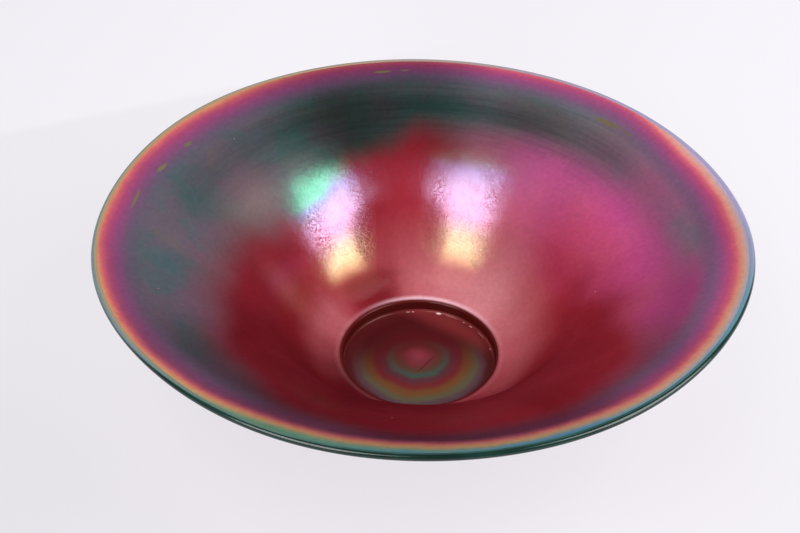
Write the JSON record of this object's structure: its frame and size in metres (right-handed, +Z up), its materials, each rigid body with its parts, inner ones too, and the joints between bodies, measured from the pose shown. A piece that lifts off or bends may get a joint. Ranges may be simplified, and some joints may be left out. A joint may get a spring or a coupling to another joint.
{
  "type": "art glass bowl",
  "caption": "Wide flared ruby art glass bowl with an iridised surface, a dark green rounded lip, a round well in the bottom and a collar foot.",
  "frame": {"origin": "centre of the foot's tread, on the plane that the bowl stands on", "axes": "+Z up along the bowl's axis; X and Y lie in the standing plane and are equivalent by symmetry"},
  "size_m": [0.3799, 0.38, 0.1226],
  "materials": {
    "ruby_lustre_glass": "translucent ruby glass with a metallic iridised film: ruby in the cup, slate, purple and magenta up the flare, and orange, olive and teal in thin bands at the edge, with soft highlights broken by fine crackle",
    "green_lip_glass": "fire polished dark green glass, nearly black, with a sharp gloss",
    "well_floor_glass": "dark ruby glass with faint concentric interference rings and a glossy top",
    "foot_glass": "deep ruby glass, glossy sides, ground satin tread",
    "pontil_glass": "ruby glass, ground and polished to a shallow dish"
  },
  "bodies": {
    "root": {"bowl_body": "ruby_lustre_glass", "lip_wrap": "green_lip_glass", "base_disc": "well_floor_glass", "foot_ring": "foot_glass", "pontil_pad": "pontil_glass"}
  },
  "joints": []
}
